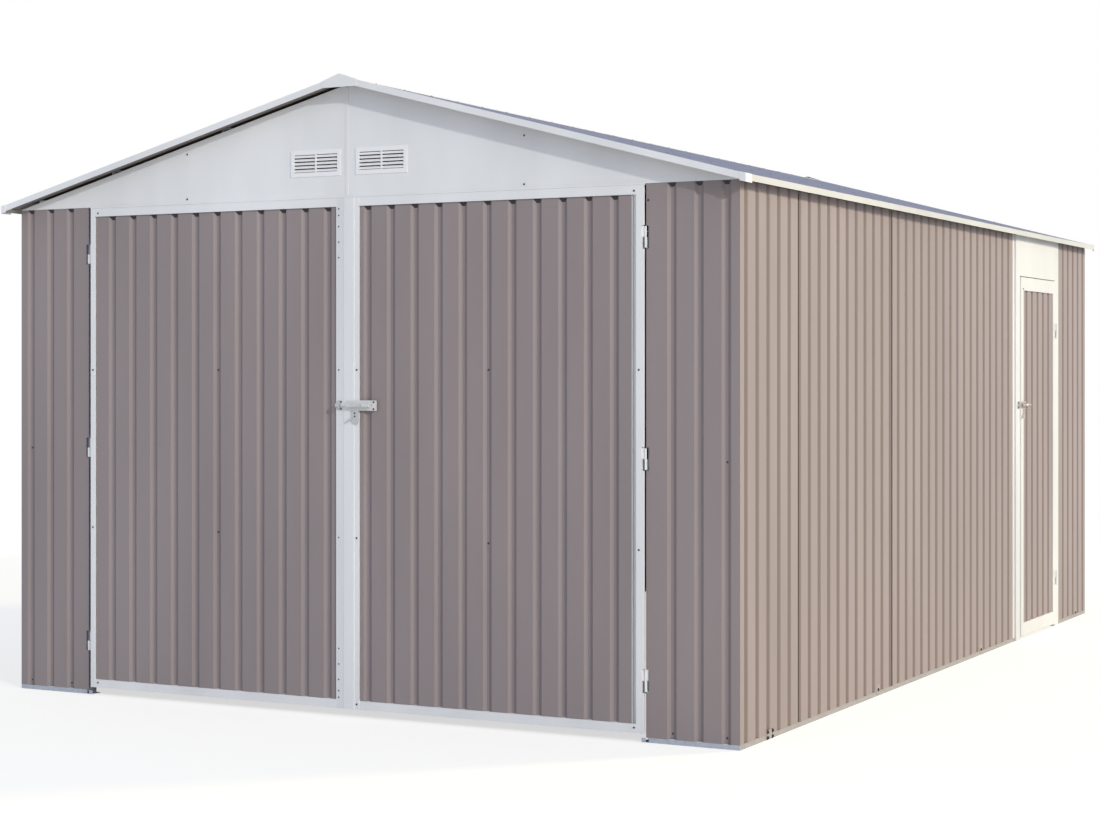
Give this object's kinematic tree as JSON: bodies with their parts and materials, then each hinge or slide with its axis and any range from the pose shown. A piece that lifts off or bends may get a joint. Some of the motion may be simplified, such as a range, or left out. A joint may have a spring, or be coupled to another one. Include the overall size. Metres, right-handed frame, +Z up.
{
  "type": "metal garage",
  "caption": "Metal garage with ribbed walls, a low gable roof, a pair of hinged front doors with a slide bolt, and a hinged walk-in door in the side wall.",
  "frame": {"origin": "on the ground, under the middle of the building", "axes": "+X to the right seen from the front doors, +Y from the front to the back, +Z up"},
  "size_m": [3.4814, 5.2734, 2.5668],
  "materials": {
    "taupe": "satin paint on ribbed steel sheet",
    "off_white": "satin paint on folded steel trim",
    "slate_blue": "satin paint on ribbed steel roof sheet",
    "galvanised": "bare galvanised steel, dull",
    "zinc": "bright zinc plate on bolts"
  },
  "bodies": {
    "building": {"base_rail_front": "galvanised", "base_rail_back": "galvanised", "base_rail_left": "galvanised", "base_rail_right": "galvanised", "corner_posts": "galvanised", "front_door_posts": "galvanised", "front_header": "galvanised", "side_door_posts": "off_white", "side_door_transom": "off_white", "wall_plates": "galvanised", "wall_girts": "galvanised", "front_wall_left": "taupe", "front_wall_right": "taupe", "left_wall": "taupe", "back_wall": "taupe", "right_wall_front": "taupe", "right_wall_rear": "taupe", "front_gable": "off_white", "back_gable": "off_white", "roof_purlins": "galvanised", "roof_rafters": "galvanised", "roof_left": "slate_blue", "roof_right": "slate_blue", "ridge_cap": "off_white", "ridge_end_caps": "off_white", "verge_trim_front": "off_white", "verge_trim_back": "off_white", "eave_trims": "off_white", "eave_corner_caps": "off_white", "front_vents": "off_white", "back_vents": "off_white", "side_bolt_keeper": "zinc"},
    "left_door": {"left_door_frame": "off_white", "left_door_panel": "taupe", "front_bolt_keeper": "zinc"},
    "right_door": {"right_door_frame": "off_white", "right_door_panel": "taupe", "door_cover_strip": "off_white", "front_bolt_body": "zinc"},
    "front_bolt": {"front_bolt_rod": "zinc"},
    "side_door": {"side_door_frame": "off_white", "side_door_panel": "taupe", "side_bolt_body": "zinc"},
    "side_bolt": {"side_bolt_rod": "zinc"}
  },
  "joints": [
    {"name": "left_door_hinge", "type": "hinge", "parent": "building", "child": "left_door", "pos_m": [-1.3035, -2.567, 0], "axis": [0, 0, -1], "range_deg": [0, 110]},
    {"name": "right_door_hinge", "type": "hinge", "parent": "building", "child": "right_door", "pos_m": [1.3125, -2.569, 0], "axis": [0, 0, 1], "range_deg": [0, 110]},
    {"name": "side_door_hinge", "type": "hinge", "parent": "building", "child": "side_door", "pos_m": [1.7075, 1.8575, 0], "axis": [0, 0, 1], "range_deg": [0, 110]},
    {"name": "front_bolt_slide", "type": "slide", "parent": "right_door", "child": "front_bolt", "axis": [1, 0, 0], "range_m": [-0.048, 0]},
    {"name": "side_bolt_slide", "type": "slide", "parent": "side_door", "child": "side_bolt", "axis": [0, 1, 0], "range_m": [-0.05, 0]}
  ]
}
